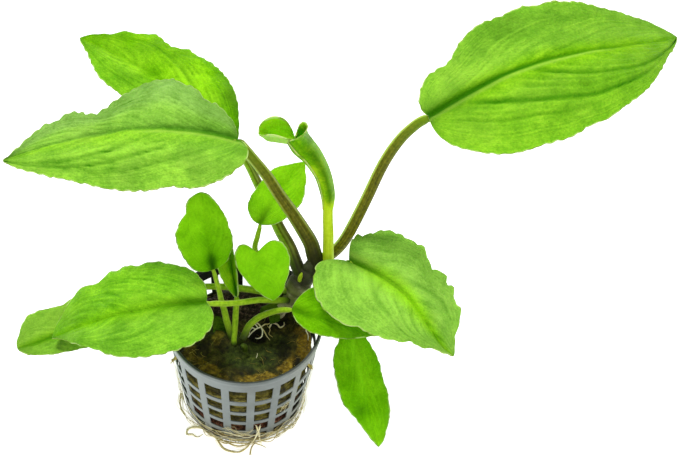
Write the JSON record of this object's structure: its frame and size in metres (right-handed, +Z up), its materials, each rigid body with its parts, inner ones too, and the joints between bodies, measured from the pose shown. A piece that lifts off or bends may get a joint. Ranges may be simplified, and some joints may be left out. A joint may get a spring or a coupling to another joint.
{
  "type": "potted lagenandra",
  "caption": "Marsh plant with broad stalked green leaves and creeping stem, rooted in a wool plug in a round slotted net pot.",
  "frame": {"origin": "middle of the net pot's underside, on the surface it stands on", "axes": "+Z up, +X towards the large upper right leaf, -Y towards the viewer of the picture"},
  "size_m": [0.2289, 0.1199, 0.137],
  "materials": {
    "pot": "matt blue-grey plastic",
    "wool": "wet brown mineral wool",
    "stem": "dull ringed plant stem",
    "leaf": "satin leaf",
    "young_leaf": "satin young leaf",
    "green_stalk": "satin leaf stalk",
    "brown_stalk": "satin leaf stalk",
    "root": "pale thin root"
  },
  "bodies": {
    "root": {"net_pot": "pot", "wool_plug": "wool", "rhizome": "stem", "crown_bud": "young_leaf", "side_shoot": "green_stalk", "green_stub": "green_stalk", "blade_upper_right": "leaf", "blade_upper_left": "leaf", "blade_upper_left_back": "leaf", "blade_behind_stalks": "leaf", "blade_small_heart": "leaf", "blade_small_upright": "leaf", "blade_lower_left": "leaf", "blade_lower_left_back": "leaf", "blade_lower_right": "leaf", "blade_middle_right": "leaf", "blade_hanging": "leaf", "blade_folded_young": "young_leaf", "blade_rolled_young": "young_leaf", "blade_rolled_hood": "young_leaf", "stalk_upper_right": "brown_stalk", "stalk_upper_left": "brown_stalk", "stalk_upper_left_back": "brown_stalk", "stalk_behind_stalks": "green_stalk", "stalk_small_heart": "green_stalk", "stalk_small_upright": "green_stalk", "stalk_lower_left": "green_stalk", "stalk_lower_left_back": "green_stalk", "stalk_lower_right": "green_stalk", "stalk_middle_right": "green_stalk", "stalk_hanging": "green_stalk", "stalk_rolled_young": "green_stalk", "stalk_folded_young": "green_stalk", "root_1": "root", "root_2": "root", "root_3": "root", "root_4": "root", "root_5": "root", "root_6": "root", "root_7": "root"}
  },
  "joints": []
}
